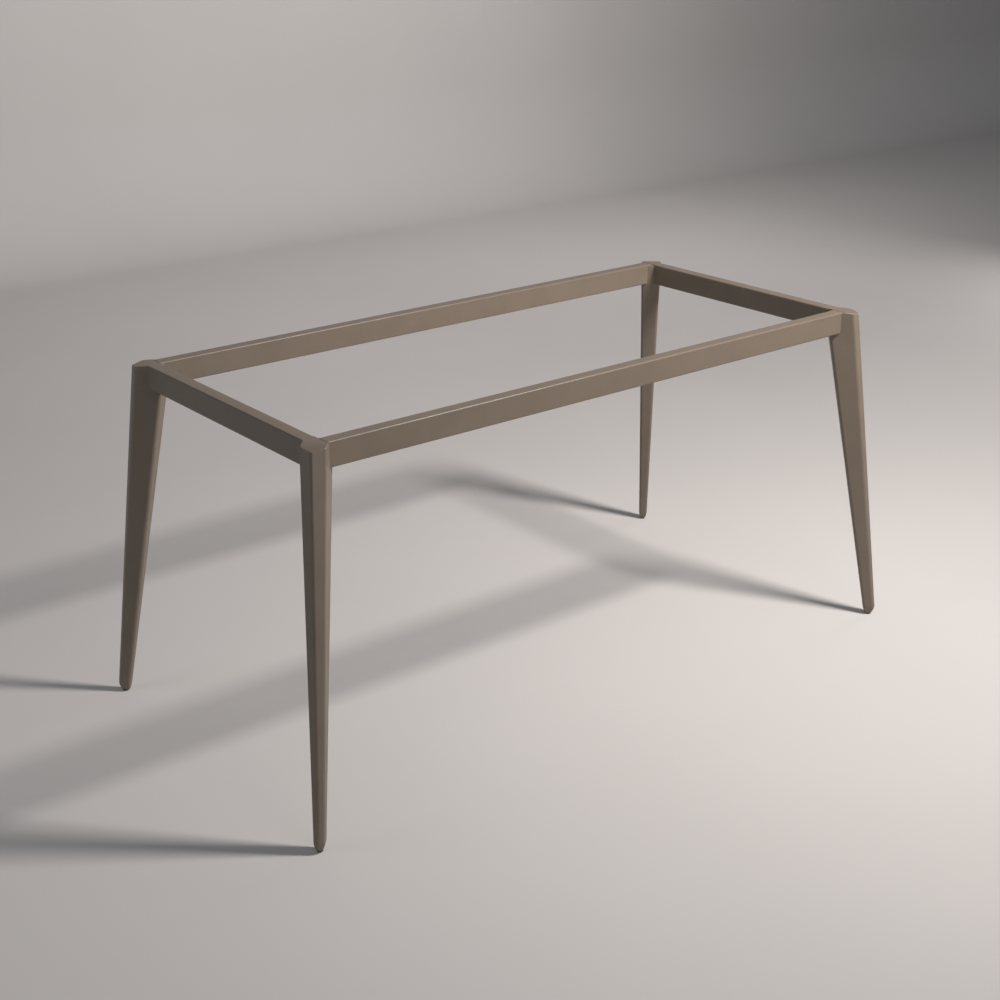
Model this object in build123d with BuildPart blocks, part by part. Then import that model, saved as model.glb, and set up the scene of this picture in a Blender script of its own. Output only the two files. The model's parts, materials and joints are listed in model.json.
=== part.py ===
"""Desk frame: two end rails and two long rails of rectangular tube, carried by four
tapered, hollow legs that stand on the frame's corner diagonals and splay outwards.

Millimetres, +Z up, X along the long rails. The origin is on the floor under the
middle of the frame. Every piece of a corner is drawn once, at the corner on +X and
+Y, and mirrored to the other three. A leg is drawn in a frame of its own: x runs
outwards along the corner's diagonal, and its zero is the upright line where the
outer faces of the two rails would meet.
"""

from build123d import *
import math
import os

# Overall size of the frame
frame_height = 720.0
frame_length = 1370.0
frame_depth = 617.0

# Rails: one rectangular tube for all four
rail_height = 47.5
rail_width = 27.0
rail_wall = 2.0
rail_outer_radius = 3.0
rail_inner_radius = 1.2

# Leg, measured outwards along the diagonal
leg_back_top = -55.2
leg_back_foot = 86.0
leg_nose_top = 16.5
leg_nose_foot = 112.8
leg_half_width_top = 23.0
leg_half_width_foot = 9.8
leg_nose_angle = 32.0
leg_edge_radius = 6.0
leg_wall = 2.5

# Cap plate on each leg: level with the rails, rounded off towards the nose, sloped at the back
cap_thickness = 8.0
cap_back_slope = 26.0
cap_round_start = -21.0
cap_nose_drop = 6.0
cap_edge_radius = 2.5

# Toe: the solid end of each leg, drawn in towards the floor by its own depth on each side
toe_height = 30.0
toe_round_height = 20.0
toe_nose_round = 9.5
toe_flank_round = 4.6
toe_back_round = 1.6
toe_corner_radius = 3.2
toe_edge_radius = 0.8
toe_sections = 7
toe_spigot_length = 16.0
toe_spigot_fit = 0.2

# Glide pressed into each toe
glide_height = 3.0
glide_diameter = 11.0
glide_chamfer = 0.8
glide_stem_diameter = 6.0
glide_stem_length = 14.0
glide_hole_spare = 1.0

# Joint between a long rail and a leg
rail_end_gap = 0.3
lap_end_gap = 1.5

# Connector: the stub on each leg that a long rail slides over
connector_reach = 116.0
connector_wall = 6.0
connector_fit = 0.3
connector_edge_radius = 1.5

# Screws that hold a long rail to its connectors, from below
screw_count = 2
screw_diameter = 8.0
screw_length = 13.0
screw_thread_fit = 0.1
screw_hole_fit = 0.25
screw_head_diameter = 13.0
screw_head_height = 2.2
screw_head_round = 0.9
screw_socket_size = 5.0
screw_socket_depth = 2.6
screw_first = 68.0
screw_spacing = 26.0

# Cutting shapes: how far they run past what they cut, and a block wider than a leg's head
overrun = 5.0
cutter_size = 200.0

# Places that follow from the sizes above
corner_x = frame_length / 2
corner_y = frame_depth / 2
rail_underside = frame_height - rail_height
rail_middle = frame_height - rail_height / 2
long_rail_y = corner_y - rail_width / 2
end_rail_x = corner_x - rail_width / 2
lap_underside = frame_height - rail_wall
cap_underside = frame_height - cap_thickness
toe_top = glide_height + toe_height
nose_slope = math.tan(math.radians(leg_nose_angle))
nose_cosine = math.cos(math.radians(leg_nose_angle))
glide_place = (leg_back_foot + leg_nose_foot - leg_half_width_foot * nose_slope) / 2
cap_round_run = leg_nose_top - cap_round_start
cap_round_radius = (cap_round_run**2 + cap_nose_drop**2) / (2 * cap_nose_drop)
connector_width = rail_width - 2 * (rail_wall + connector_fit)
connector_height = rail_height - 2 * (rail_wall + connector_fit)
long_rail_reach = corner_x - rail_width - lap_end_gap
screw_places = [corner_x - screw_first - i * screw_spacing for i in range(screw_count)]
screw_spots = [(x, long_rail_y) for x in screw_places]

# The leg's own frame, at the corner on +X and +Y
leg_frame = Plane(origin=(corner_x, corner_y, 0), x_dir=(1, 1, 0), z_dir=(0, 0, 1))


def along_leg(at_foot, at_top, height):
    """A size of the leg at a height, on the straight line from the floor to the top."""
    return at_foot + (at_top - at_foot) * height / frame_height


def five_sides(height, back, nose, half, corner_radius=0.0):
    """Five-sided section at a height: a nose of two faces, two flanks at half the width, a back."""
    shoulder = nose - half * nose_slope
    with BuildSketch(Plane.XY.offset(height)) as section:
        with BuildLine():
            Polyline((nose, 0), (shoulder, half), (back, half), (back, -half), (shoulder, -half), close=True)
        make_face()
        if corner_radius > 0:
            fillet(section.vertices(), corner_radius)
    return section.sketch


def leg_section(height, inset):
    """Section of the leg at a height, smaller all round by the inset."""
    back = along_leg(leg_back_foot, leg_back_top, height) + inset
    nose = along_leg(leg_nose_foot, leg_nose_top, height) - inset / nose_cosine
    half = along_leg(leg_half_width_foot, leg_half_width_top, height) - inset
    return five_sides(height, back, nose, half)


def runs_along_leg(edge):
    """True for the edges that run up the leg, which are all rounded."""
    rise = edge.end_point() - edge.start_point()
    return abs(rise.Z) > rise.length / 2


def leg_body(bottom, top, inset=0.0):
    """The leg between two heights in its own frame, smaller all round by the inset.

    The back slopes up to the underside of the rails and is upright from there.
    """
    upright_back = along_leg(leg_back_foot, leg_back_top, rail_underside) + inset
    with BuildPart() as body:
        loft([leg_section(bottom, inset), leg_section(top, inset)])
        if top > rail_underside:
            with BuildSketch(Plane.XY.offset(rail_underside)):
                with Locations((upright_back, 0)):
                    Rectangle(cutter_size, cutter_size, align=(Align.MAX, Align.CENTER))
            extrude(amount=rail_height + overrun, mode=Mode.SUBTRACT)
        fillet(body.edges().filter_by(runs_along_leg), leg_edge_radius - inset)
    return body.part


def at_corner(piece):
    """A piece drawn in the leg's frame, moved to the corner on +X and +Y."""
    return leg_frame.location * piece


# Leg tube: closed above by the cap and below by the toe
tube_cavity = leg_body(toe_top - overrun, cap_underside + overrun, leg_wall)

with BuildPart() as leg_tube:
    add(leg_body(toe_top, cap_underside))
    add(tube_cavity, mode=Mode.SUBTRACT)

# Leg cap: the rounded nose stands clear of the rails, the rest lies between them
cap_blank = leg_body(cap_underside, frame_height)


def cap_round_point(run):
    """Point on the cap's rounding, by how far out it lies from where the rounding starts."""
    drop = cap_round_radius - math.sqrt(cap_round_radius**2 - run**2)
    return (cap_round_start + run, frame_height - drop)


with BuildPart() as cap_round:
    with BuildSketch(Plane.XZ):
        with BuildLine():
            start, middle, end = [
                cap_round_point(run) for run in (0, cap_round_run / 2, cap_round_run + overrun)
            ]
            ThreePointArc(start, middle, end)
            Polyline(end, (end[0], frame_height + overrun), (start[0], frame_height + overrun), start)
        make_face()
    extrude(amount=cutter_size / 2, both=True)

with BuildPart() as between_rails:
    with BuildSketch(Plane.XY.offset(cap_underside - overrun)):
        with Locations((-cutter_size / math.sqrt(2), 0)):
            Rectangle(cutter_size, cutter_size, rotation=45)
    extrude(amount=cap_thickness + 2 * overrun)


def is_free_rim(edge):
    """True for the upper rim of the cap's nose, apart from where it meets the rails."""
    middle = edge.position_at(0.5)
    from_rail_face = abs(abs(middle.Y) + middle.X)
    return middle.Z > cap_underside + cap_edge_radius and from_rail_face > rail_end_gap


with BuildPart() as cap_nose:
    add(cap_blank)
    add(cap_round.part, mode=Mode.SUBTRACT)
    add(between_rails.part, mode=Mode.SUBTRACT)
    rim = cap_nose.faces().filter_by(lambda face: face.normal_at().Z > 0.9).edges().filter_by(is_free_rim)
    fillet(rim, cap_edge_radius)

# The cap slopes down where it reaches in past the corner between the rails' inner faces
inner_corner = -rail_width * math.sqrt(2)
with BuildPart() as cap_back:
    with BuildSketch(Plane.XY.offset(cap_underside)):
        with Locations((inner_corner - cutter_size / math.sqrt(2), 0)):
            Rectangle(cutter_size, cutter_size, rotation=45)
    extrude(amount=cap_thickness + overrun)
    with BuildSketch(Plane.XZ):
        with Locations(Location((inner_corner, frame_height), cap_back_slope)):
            Rectangle(cutter_size, cutter_size, align=(Align.CENTER, Align.MIN))
    extrude(amount=cutter_size, both=True, mode=Mode.INTERSECT)

# The long rail's upper wall laps over the cap, in a recess as deep as that wall, and the
# seam at its end runs on outwards over the cap's nose
with BuildPart() as lap_recess:
    with BuildSketch(Plane.XY.offset(lap_underside)):
        with Locations((corner_x - rail_width, long_rail_y)):
            Rectangle(cutter_size, rail_width + 2 * rail_end_gap, align=(Align.MAX, Align.CENTER))
        with Locations((corner_x - rail_width, long_rail_y)):
            Rectangle(lap_end_gap, cutter_size, align=(Align.MAX, Align.MIN))
    extrude(amount=rail_wall + overrun)

with BuildPart() as leg_cap:
    add(cap_blank)
    add(cap_round.part, mode=Mode.SUBTRACT)
    add(between_rails.part, mode=Mode.INTERSECT)
    add(cap_back.part, mode=Mode.SUBTRACT)
    add(cap_nose.part)


def drawn_in(fall, depth):
    """How far an arc has drawn in after a fall, where it draws in by the depth at the bottom."""
    radius = (toe_round_height**2 + depth**2) / (2 * depth)
    return radius - math.sqrt(radius**2 - fall**2)


def toe_section(height):
    """Section of the toe at a height, with its corners rounded."""
    fall = max(glide_height + toe_round_height - height, 0)
    back = along_leg(leg_back_foot, leg_back_top, height) + drawn_in(fall, toe_back_round)
    nose = along_leg(leg_nose_foot, leg_nose_top, height) - drawn_in(fall, toe_nose_round)
    half = along_leg(leg_half_width_foot, leg_half_width_top, height) - drawn_in(fall, toe_flank_round)
    sharpening = (leg_edge_radius - toe_corner_radius) * fall / toe_round_height
    return five_sides(height, back, nose, half, leg_edge_radius - sharpening)


# Toe: closes the leg below, with a spigot up inside the tube and a hole for the glide
toe_falls = [toe_round_height * i / (toe_sections - 1) for i in range(toe_sections)]
with BuildPart() as leg_toe:
    loft([toe_section(toe_top), toe_section(glide_height + toe_round_height)])
    loft([toe_section(glide_height + toe_round_height - fall) for fall in toe_falls])
    fillet(leg_toe.faces().sort_by(Axis.Z)[0].edges(), toe_edge_radius)
    add(leg_body(toe_top, toe_top + toe_spigot_length, leg_wall + toe_spigot_fit))
    with BuildSketch(Plane.XY.offset(glide_height)):
        with Locations((glide_place, 0)):
            Circle(glide_stem_diameter / 2)
    extrude(amount=glide_stem_length + glide_hole_spare, mode=Mode.SUBTRACT)

# Glide: a round pad with a stem pressed up into the toe
with BuildPart() as glide:
    with BuildSketch():
        with Locations((glide_place, 0)):
            Circle(glide_diameter / 2)
    extrude(amount=glide_height)
    chamfer(glide.edges().sort_by(Axis.Z)[0], glide_chamfer)
    with BuildSketch(Plane.XY.offset(glide_height)):
        with Locations((glide_place, 0)):
            Circle(glide_stem_diameter / 2)
    extrude(amount=glide_stem_length)

# The whole head of the leg, which the rails and the connector are cut to fit
leg_head = at_corner(leg_body(rail_underside - overrun, frame_height + overrun))
leg_head_with_gap = at_corner(leg_body(rail_underside - overrun, lap_underside, -rail_end_gap))

# End rail: welded to both of its legs
with BuildPart() as end_rail:
    with BuildSketch(Plane.XZ):
        with Locations((end_rail_x, rail_middle)):
            RectangleRounded(rail_width, rail_height, rail_outer_radius)
            RectangleRounded(
                rail_width - 2 * rail_wall, rail_height - 2 * rail_wall, rail_inner_radius,
                mode=Mode.SUBTRACT,
            )
    extrude(amount=corner_y, both=True)
    add(leg_head, mode=Mode.SUBTRACT)
    add(mirror(leg_head, about=Plane.XZ), mode=Mode.SUBTRACT)

# Long rail: slid over a connector at each end and screwed to it from below
with BuildPart() as long_rail:
    with BuildSketch(Plane.YZ):
        with Locations((long_rail_y, rail_middle)):
            RectangleRounded(rail_width, rail_height, rail_outer_radius)
            RectangleRounded(
                rail_width - 2 * rail_wall, rail_height - 2 * rail_wall, rail_inner_radius,
                mode=Mode.SUBTRACT,
            )
    extrude(amount=long_rail_reach, both=True)
    add(leg_head_with_gap, mode=Mode.SUBTRACT)
    add(mirror(leg_head_with_gap, about=Plane.YZ), mode=Mode.SUBTRACT)
    with BuildSketch(Plane.XY.offset(rail_underside - overrun)):
        with Locations(*screw_spots, *[(-x, y) for x, y in screw_spots]):
            Circle(screw_diameter / 2 + screw_hole_fit)
    extrude(amount=rail_wall + overrun + connector_fit, mode=Mode.SUBTRACT)

# Connector: a short tube welded to the leg's flank, inside the end of the long rail
with BuildPart() as rail_connector:
    with BuildSketch(Plane.YZ.offset(corner_x - connector_reach)):
        with Locations((long_rail_y, rail_middle)):
            RectangleRounded(connector_width, connector_height, connector_edge_radius)
            Rectangle(
                connector_width - 2 * connector_wall, connector_height - 2 * connector_wall,
                mode=Mode.SUBTRACT,
            )
    extrude(amount=connector_reach - rail_width)
    add(leg_head, mode=Mode.SUBTRACT)
    with BuildSketch(Plane.XY.offset(rail_underside)):
        with Locations(*screw_spots):
            Circle(screw_diameter / 2 + screw_thread_fit)
    extrude(amount=rail_height / 2, mode=Mode.SUBTRACT)

# Screws of one corner: round heads with a hexagon socket, under the long rail
with BuildPart() as rail_screws:
    with BuildSketch(Plane.XY.offset(rail_underside - screw_head_height)):
        with Locations(*screw_spots):
            Circle(screw_head_diameter / 2)
    extrude(amount=screw_head_height)
    fillet(rail_screws.edges().filter_by(GeomType.CIRCLE).group_by(Axis.Z)[0], screw_head_round)
    with BuildSketch(Plane.XY.offset(rail_underside)):
        with Locations(*screw_spots):
            Circle(screw_diameter / 2)
    extrude(amount=screw_length)
    with BuildSketch(Plane.XY.offset(rail_underside - screw_head_height)):
        with Locations(*screw_spots):
            RegularPolygon(screw_socket_size / 2, 6, major_radius=False)
    extrude(amount=screw_socket_depth, mode=Mode.SUBTRACT)

# The finished pieces of a corner, in the frame's own place
corner_pieces = {
    "leg_tube": at_corner(leg_tube.part),
    "leg_cap": at_corner(leg_cap.part) - lap_recess.part,
    "leg_toe": at_corner(leg_toe.part),
    "glide": at_corner(glide.part),
    "rail_connector": rail_connector.part,
    "rail_screws": rail_screws.part,
}

pieces = {
    "end_rail_right": end_rail.part,
    "end_rail_left": mirror(end_rail.part, about=Plane.YZ),
    "long_rail_rear": long_rail.part,
    "long_rail_front": mirror(long_rail.part, about=Plane.XZ),
}
for name, piece in corner_pieces.items():
    pieces[f"{name}_rear_right"] = piece
    pieces[f"{name}_rear_left"] = mirror(piece, about=Plane.YZ)
    pieces[f"{name}_front_right"] = mirror(piece, about=Plane.XZ)
    pieces[f"{name}_front_left"] = mirror(mirror(piece, about=Plane.YZ), about=Plane.XZ)

os.makedirs("parts", exist_ok=True)
for name, piece in pieces.items():
    piece.label = name
    export_step(piece, f"parts/{name}.step")
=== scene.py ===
"""Desk frame: finish of every surface, the camera, the light and the floor."""

import json
import math

import bpy
from mathutils import Matrix, Vector

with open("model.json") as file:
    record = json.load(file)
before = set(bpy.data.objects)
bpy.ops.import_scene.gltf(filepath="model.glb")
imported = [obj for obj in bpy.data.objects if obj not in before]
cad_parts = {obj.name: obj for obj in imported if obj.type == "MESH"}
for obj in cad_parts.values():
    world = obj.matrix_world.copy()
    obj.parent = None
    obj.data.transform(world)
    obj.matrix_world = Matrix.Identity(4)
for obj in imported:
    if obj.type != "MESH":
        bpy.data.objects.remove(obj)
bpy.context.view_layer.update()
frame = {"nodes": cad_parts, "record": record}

# Camera, solved from the photograph's straight edges: place in metres, turns in degrees,
# lens and sensor in millimetres
camera_place = Vector((-1.9353, -2.3460, 1.5667))
camera_yaw = 38.90
camera_pitch = 21.70
camera_roll = -0.135
focal_length = 55.28
sensor_width = 36.0

# Lamps: where each stands, what it points at, its side in metres, power and colour
lamps = {
    "key": {"place": (1.0, -1.40, 2.45), "aim": (0.6, 2.0, 0.3), "side": 0.44, "power": 81.0,
            "colour": (1.0, 0.945, 0.905)},
    "front": {"place": (-0.8, -3.8, 0.9), "aim": (0.0, 0.0, 0.4), "side": 1.5, "power": 14.0,
              "colour": (1.0, 0.95, 0.90)},
    "left": {"place": (-3.5, 1.2, 1.2), "aim": (0.0, 0.0, 0.4), "side": 2.0, "power": 15.0,
             "colour": (0.86, 0.92, 1.0)},
    "right": {"place": (4.5, 0.3, 0.7), "aim": (0.0, 0.0, 0.35), "side": 1.5, "power": 26.0,
              "colour": (1.0, 0.96, 0.93)},
    "wall_left": {"place": (0.9, 2.5, 2.2), "aim": (1.1, 4.25, 0.5), "side": 1.6, "power": 6.2,
                  "colour": (1.0, 0.96, 0.94)},
    "wall_right": {"place": (3.2, 2.3, 2.1), "aim": (3.0, 4.25, 1.1), "side": 1.6, "power": 15.0,
                   "colour": (1.0, 0.96, 0.94)},
}
world_colour = (0.88, 0.93, 1.0)
world_strength = 0.13

# Stage: a floor that bends up into a wall behind the object
floor_size = 60.0
wall_distance = 4.45
wall_height = 6.0
bend_radius = 0.6
bend_steps = 32

# Noise: the two values that it mostly keeps between, and how many finer layers it has
noise_low = 0.3
noise_high = 0.7
noise_detail = 2.0
cloud_detail = 3.0
grain_detail = 1.0

# Powder coat: colour as linear values, tones as shares of it, sizes and depths in metres
coat_colour = (0.224, 0.181, 0.142)
coat_mottle_size = 0.060
coat_mottle_tones = (0.95, 1.05)
coat_grain_size = 0.0011
coat_grain_tone = 0.86
coat_grain_share = 0.35
coat_grain_depth = 0.00004
# Painted highlight: convex edges, found through the bevel normal, are made lighter in colour to
# stand in for the shine along the rounded edges
coat_edge_radius = 0.0022
coat_edge_samples = 6
coat_edge_limit = 0.90
coat_edge_highlight_tone = 1.30
coat_edge_highlight_share = 0.30
coat_peel_size = 0.0035
coat_peel_depth = 0.00003
coat_roughness = (0.32, 0.42)
coat_specular = 0.42

# Nylon of the glides
nylon_colour = (0.018, 0.017, 0.016)
nylon_cloud_size = 0.004
nylon_tones = (0.8, 1.4)
nylon_grain_size = 0.0006
nylon_grain_depth = 0.00003
nylon_roughness = (0.45, 0.62)

# Zinc plating of the connectors and screws
zinc_colour = (0.56, 0.57, 0.58)
zinc_cloud_size = 0.008
zinc_tones = (0.85, 1.10)
zinc_line_size = 0.0008
zinc_line_stretch = (0.05, 1.0, 1.0)
zinc_line_depth = 0.00002
zinc_roughness = (0.24, 0.42)

# Floor: the second colour is what it returns in light, to all but the camera
floor_colour = (0.74, 0.715, 0.70)
floor_bounce_colour = (0.54, 0.523, 0.505)
floor_cloud_size = 0.7
floor_tones = (0.985, 1.015)
floor_roughness = 0.75
floor_specular = 0.15


def place_camera():
    """Stands the camera where the photograph was taken from."""
    data = bpy.data.cameras.new("camera")
    data.sensor_width = sensor_width
    data.lens = focal_length
    camera = bpy.data.objects.new("camera", data)
    bpy.context.scene.collection.objects.link(camera)
    turn = Matrix.Rotation(math.radians(-camera_yaw), 4, "Z")
    tilt = Matrix.Rotation(math.radians(90.0 - camera_pitch), 4, "X")
    roll = Matrix.Rotation(math.radians(camera_roll), 4, "Z")
    camera.matrix_world = Matrix.Translation(camera_place) @ turn @ tilt @ roll
    bpy.context.scene.camera = camera


def place_lamps():
    """Square soft lamps, each turned towards the point that it is aimed at."""
    for name, lamp in lamps.items():
        data = bpy.data.lights.new(name, "AREA")
        data.size = lamp["side"]
        data.energy = lamp["power"]
        data.color = lamp["colour"]
        light = bpy.data.objects.new(name, data)
        light.visible_camera = False
        bpy.context.scene.collection.objects.link(light)
        direction = Vector(lamp["aim"]) - Vector(lamp["place"])
        light.location = lamp["place"]
        light.rotation_euler = direction.to_track_quat("-Z", "Y").to_euler()


def light_world():
    """An even, faint light from all round."""
    world = bpy.data.worlds.new("studio")
    world.use_nodes = True
    background = world.node_tree.nodes["Background"]
    background.inputs["Color"].default_value = (*world_colour, 1.0)
    background.inputs["Strength"].default_value = world_strength
    bpy.context.scene.world = world


class Material:
    """A procedural material with helpers to add and join its nodes."""

    def __init__(self, name):
        self.material = bpy.data.materials.new(name)
        self.material.use_nodes = True
        self.tree = self.material.node_tree
        self.shader = self.tree.nodes["Principled BSDF"]
        self.space = self.add("ShaderNodeTexCoord").outputs["Object"]

    def add(self, kind, **settings):
        """A new node, with its own properties set."""
        node = self.tree.nodes.new(kind)
        for key, value in settings.items():
            setattr(node, key, value)
        return node

    def join(self, output, socket):
        """Links an output to an input."""
        self.tree.links.new(output, socket)

    def noise(self, size, detail=noise_detail, stretch=(1.0, 1.0, 1.0)):
        """Noise whose features are about the given size in metres."""
        mapping = self.add("ShaderNodeMapping")
        mapping.inputs["Scale"].default_value = stretch
        self.join(self.space, mapping.inputs["Vector"])
        noise = self.add("ShaderNodeTexNoise")
        noise.inputs["Scale"].default_value = 1.0 / size
        noise.inputs["Detail"].default_value = detail
        self.join(mapping.outputs["Vector"], noise.inputs["Vector"])
        return noise.outputs["Fac"]

    def spread(self, value, low, high, start=noise_low, end=noise_high):
        """Maps a value from start to end onto low to high."""
        remap = self.add("ShaderNodeMapRange")
        remap.inputs["From Min"].default_value = start
        remap.inputs["From Max"].default_value = end
        remap.inputs["To Min"].default_value = low
        remap.inputs["To Max"].default_value = high
        self.join(value, remap.inputs["Value"])
        return remap.outputs["Result"]

    def mix(self, factor, first, second):
        """Mixes two colours; each is an output or a plain colour."""
        mixer = self.add("ShaderNodeMix", data_type="RGBA")
        self.join(factor, mixer.inputs["Factor"])
        for key, value in (("A", first), ("B", second)):
            socket = next(s for s in mixer.inputs if s.name == key and s.type == "RGBA")
            if isinstance(value, tuple):
                socket.default_value = (*value, 1.0)
            else:
                self.join(value, socket)
        return next(s for s in mixer.outputs if s.type == "RGBA")

    def bump(self, height, depth, under=None):
        """Raises the surface by up to the depth in metres, over an earlier bump if given."""
        bump = self.add("ShaderNodeBump")
        bump.inputs["Distance"].default_value = depth
        self.join(height, bump.inputs["Height"])
        if under is not None:
            self.join(under, bump.inputs["Normal"])
        return bump.outputs["Normal"]


def toned(colour, tone):
    """A colour made lighter or darker."""
    return tuple(channel * tone for channel in colour)


def clouded(material, size, colour, tones, detail=cloud_detail):
    """A colour that drifts between two tones in clouds of about the given size."""
    cloud = material.spread(material.noise(size, detail=detail), 0.0, 1.0)
    return material.mix(cloud, toned(colour, tones[0]), toned(colour, tones[1]))


def powder_coat():
    """Satin powder coat: fine pebbled skin, faint mottling, and a painted highlight that lightens
    the edges.
    """
    coat = Material("powder_coat")
    body = clouded(coat, coat_mottle_size, coat_colour, coat_mottle_tones)
    grain = coat.noise(coat_grain_size, detail=grain_detail)
    speckle = coat.spread(grain, 0.0, coat_grain_share)
    speckled = coat.mix(speckle, body, toned(coat_colour, coat_grain_tone))
    # Painted highlight: a mask of the convex edges, where the coat colour is made lighter
    edge_normal = coat.add("ShaderNodeBevel", samples=coat_edge_samples)
    edge_normal.inputs["Radius"].default_value = coat_edge_radius
    geometry = coat.add("ShaderNodeNewGeometry")
    turn = coat.add("ShaderNodeVectorMath", operation="DOT_PRODUCT")
    coat.join(edge_normal.outputs["Normal"], turn.inputs[0])
    coat.join(geometry.outputs["Normal"], turn.inputs[1])
    edge_highlight_mask = coat.spread(turn.outputs["Value"], coat_edge_highlight_share, 0.0, start=coat_edge_limit, end=1.0)
    highlighted_edges = coat.mix(edge_highlight_mask, speckled, toned(coat_colour, coat_edge_highlight_tone))
    coat.join(highlighted_edges, coat.shader.inputs["Base Color"])
    coat.join(coat.spread(grain, *coat_roughness), coat.shader.inputs["Roughness"])
    coat.shader.inputs["Specular IOR Level"].default_value = coat_specular
    peel = coat.bump(coat.noise(coat_peel_size), coat_peel_depth)
    coat.join(coat.bump(grain, coat_grain_depth, under=peel), coat.shader.inputs["Normal"])
    return coat.material


def nylon():
    """Moulded nylon: near black, with a faint sheen and a fine spark-eroded texture."""
    plastic = Material("nylon")
    colour = clouded(plastic, nylon_cloud_size, nylon_colour, nylon_tones, detail=noise_detail)
    grain = plastic.noise(nylon_grain_size)
    plastic.join(colour, plastic.shader.inputs["Base Color"])
    plastic.join(plastic.spread(grain, *nylon_roughness), plastic.shader.inputs["Roughness"])
    plastic.join(plastic.bump(grain, nylon_grain_depth), plastic.shader.inputs["Normal"])
    return plastic.material


def zinc_steel():
    """Zinc-plated steel: bright, with cloudy patches and fine drawing lines."""
    zinc = Material("zinc_steel")
    zinc.shader.inputs["Metallic"].default_value = 1.0
    colour = clouded(zinc, zinc_cloud_size, zinc_colour, zinc_tones)
    lines = zinc.noise(zinc_line_size, stretch=zinc_line_stretch)
    zinc.join(colour, zinc.shader.inputs["Base Color"])
    zinc.join(zinc.spread(lines, *zinc_roughness), zinc.shader.inputs["Roughness"])
    zinc.join(zinc.bump(lines, zinc_line_depth), zinc.shader.inputs["Normal"])
    return zinc.material


def floor_finish():
    """Matt and faintly uneven: pale where it is seen, dimmer in the light that it returns."""
    finish = Material("floor")
    pale = clouded(finish, floor_cloud_size, floor_colour, floor_tones)
    light_path = finish.add("ShaderNodeLightPath")
    colour = finish.mix(light_path.outputs["Is Camera Ray"], floor_bounce_colour, pale)
    finish.join(colour, finish.shader.inputs["Base Color"])
    finish.shader.inputs["Roughness"].default_value = floor_roughness
    finish.shader.inputs["Specular IOR Level"].default_value = floor_specular
    return finish.material


def lay_floor():
    """A plain floor under the feet, bent up into a plain wall at the back."""
    half = floor_size / 2
    turns = [math.pi / 2 * i / bend_steps for i in range(bend_steps + 1)]
    bend = [
        (wall_distance - bend_radius * (1 - math.sin(turn)), bend_radius * (1 - math.cos(turn)))
        for turn in turns
    ]
    profile = [(-half, 0.0), *bend, (wall_distance, wall_height)]
    points = [(x, y, z) for y, z in profile for x in (-half, half)]
    strips = [(2 * i, 2 * i + 1, 2 * i + 3, 2 * i + 2) for i in range(len(profile) - 1)]
    mesh = bpy.data.meshes.new("floor")
    mesh.from_pydata(points, [], strips)
    mesh.shade_smooth()
    floor = bpy.data.objects.new("floor", mesh)
    bpy.context.scene.collection.objects.link(floor)
    mesh.materials.append(floor_finish())


def dress_nodes():
    """Gives every CAD node the finish of its material slot."""
    finishes = {"powder_coat": powder_coat(), "nylon": nylon(), "zinc_steel": zinc_steel()}
    for row in frame["record"]["subparts"]:
        node = frame["nodes"][row["node"]]
        for slot in node.material_slots:
            slot.material = finishes[row["material_slot"]]


place_camera()
place_lamps()
light_world()
lay_floor()
dress_nodes()

bpy.context.scene.view_settings.view_transform = "Standard"
